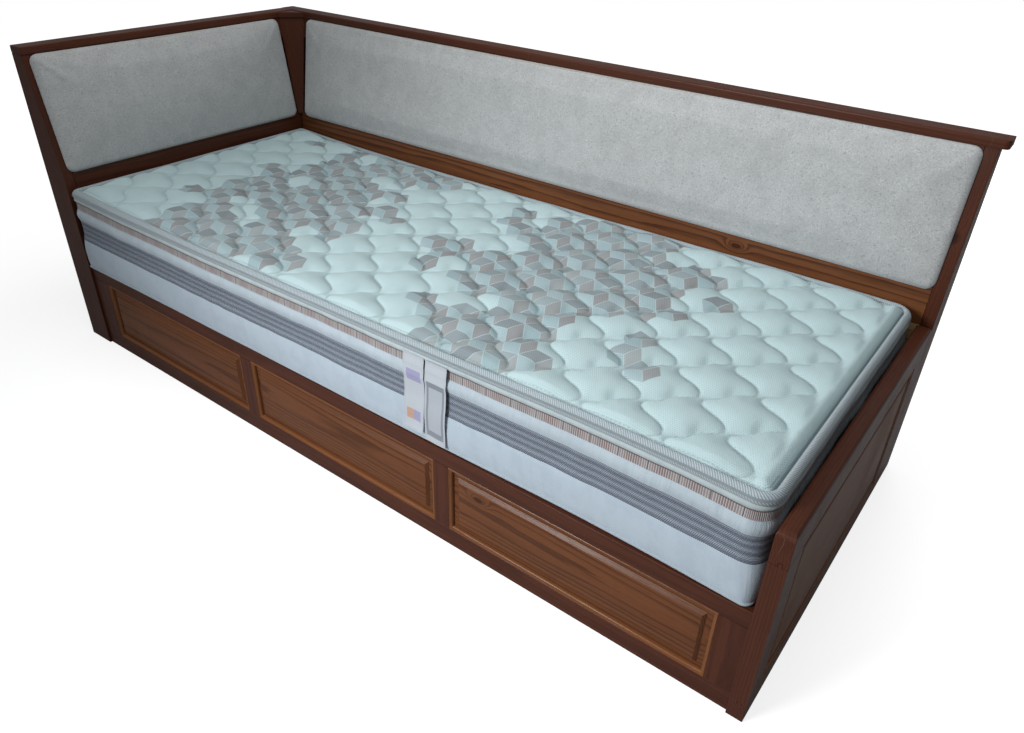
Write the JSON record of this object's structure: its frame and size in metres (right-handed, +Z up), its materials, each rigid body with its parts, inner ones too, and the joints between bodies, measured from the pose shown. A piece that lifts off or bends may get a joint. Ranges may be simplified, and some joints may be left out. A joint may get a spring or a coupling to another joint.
{
  "type": "bench bed",
  "caption": "Wooden single bench bed with a high cushioned back and end, a low end, a panelled front and a mattress on a base that lifts over a storage box.",
  "frame": {"origin": "centre of the footprint on the floor, under the middle of the overall box", "axes": "+X along the bed from the high end to the low end, +Y from the panelled front to the high back, +Z up"},
  "size_m": [2.154, 0.914, 0.842],
  "materials": {
    "walnut_wood": "satin lacquer over dark walnut stain",
    "panel_wood": "satin lacquer over walnut stain, open pine grain",
    "plywood": "raw plywood",
    "slat_wood": "planed, unfinished",
    "cushion_cloth": "short speckled upholstery cloth",
    "mattress_cloth": "quilted knit ticking",
    "black_steel": "black powder coat",
    "bright_rod": "polished"
  },
  "bodies": {
    "root": {"front_top_rail": "walnut_wood", "front_bottom_rail": "walnut_wood", "front_stile_1": "walnut_wood", "front_stile_2": "walnut_wood", "front_stile_3": "walnut_wood", "front_stile_4": "walnut_wood", "front_panel_1": "panel_wood", "front_panel_2": "panel_wood", "front_panel_3": "panel_wood", "front_bead_1": "walnut_wood", "front_bead_2": "walnut_wood", "front_bead_3": "walnut_wood", "right_end_top_rail": "walnut_wood", "right_end_bottom_rail": "walnut_wood", "right_end_front_stile": "walnut_wood", "right_end_rear_stile": "walnut_wood", "right_end_panel": "panel_wood", "right_end_bead": "walnut_wood", "right_end_lining": "plywood", "left_front_board": "walnut_wood", "back_right_board": "walnut_wood", "corner_post": "walnut_wood", "left_top_rail": "walnut_wood", "back_top_rail": "walnut_wood", "left_mid_rail": "walnut_wood", "back_mid_rail": "walnut_wood", "left_bottom_rail": "walnut_wood", "back_bottom_rail": "walnut_wood", "left_lining": "plywood", "back_lining": "plywood", "left_outer_skin": "walnut_wood", "back_outer_skin": "walnut_wood", "corner_board": "walnut_wood", "left_cap": "walnut_wood", "back_cap": "walnut_wood", "cap_infill": "walnut_wood", "left_cushion_board": "plywood", "left_cushion": "cushion_cloth", "back_cushion_board": "plywood", "back_cushion": "cushion_cloth", "storage_floor": "plywood", "front_ledger": "slat_wood", "rear_ledger": "slat_wood", "fixed_plate_left": "black_steel", "fixed_plate_right": "black_steel"},
    "lift_arms": {"lift_arm_left": "black_steel", "lift_arm_right": "black_steel"},
    "lift_base": {"base_front_rail": "slat_wood", "base_rear_rail": "slat_wood", "base_side_angle_left": "black_steel", "base_side_angle_right": "black_steel", "slat_mat": "slat_wood", "mattress": "mattress_cloth"},
    "guide_links": {"guide_link_left": "black_steel", "guide_link_right": "black_steel"},
    "gas_cylinders": {"gas_cylinder_left": "black_steel", "gas_cylinder_right": "black_steel"},
    "gas_rods": {"gas_rod_left": "bright_rod", "gas_rod_right": "bright_rod"}
  },
  "joints": [
    {"name": "arm_swing", "type": "hinge", "parent": "root", "child": "lift_arms", "pos_m": [0.024, -0.11589, 0.134], "axis": [1, 0, 0], "range_deg": [0, 47]},
    {"name": "base_tilt", "type": "hinge", "parent": "lift_arms", "child": "lift_base", "pos_m": [0.024, 0.13605, 0.238], "axis": [1, 0, 0], "range_deg": [-80, 0]},
    {"name": "link_swing", "type": "hinge", "parent": "root", "child": "guide_links", "pos_m": [0.024, -0.35598, 0.047], "axis": [1, 0, 0], "range_deg": [0, 37]},
    {"name": "strut_swing", "type": "hinge", "parent": "root", "child": "gas_cylinders", "pos_m": [0.024, 0.063, 0.048], "axis": [1, 0, 0], "range_deg": [0, 46]},
    {"name": "rod_slide", "type": "slide", "parent": "gas_cylinders", "child": "gas_rods", "axis": [0, 0.6181, 0.7861], "range_m": [0, 0.074]}
  ],
  "couplings": [
    {"joint": "base_tilt", "follows": "arm_swing", "ratio": -1.664},
    {"joint": "link_swing", "follows": "arm_swing", "ratio": 0.7647},
    {"joint": "strut_swing", "follows": "arm_swing", "ratio": 0.94604},
    {"joint": "rod_slide", "follows": "arm_swing", "m_per_rad": 0.087475}
  ]
}
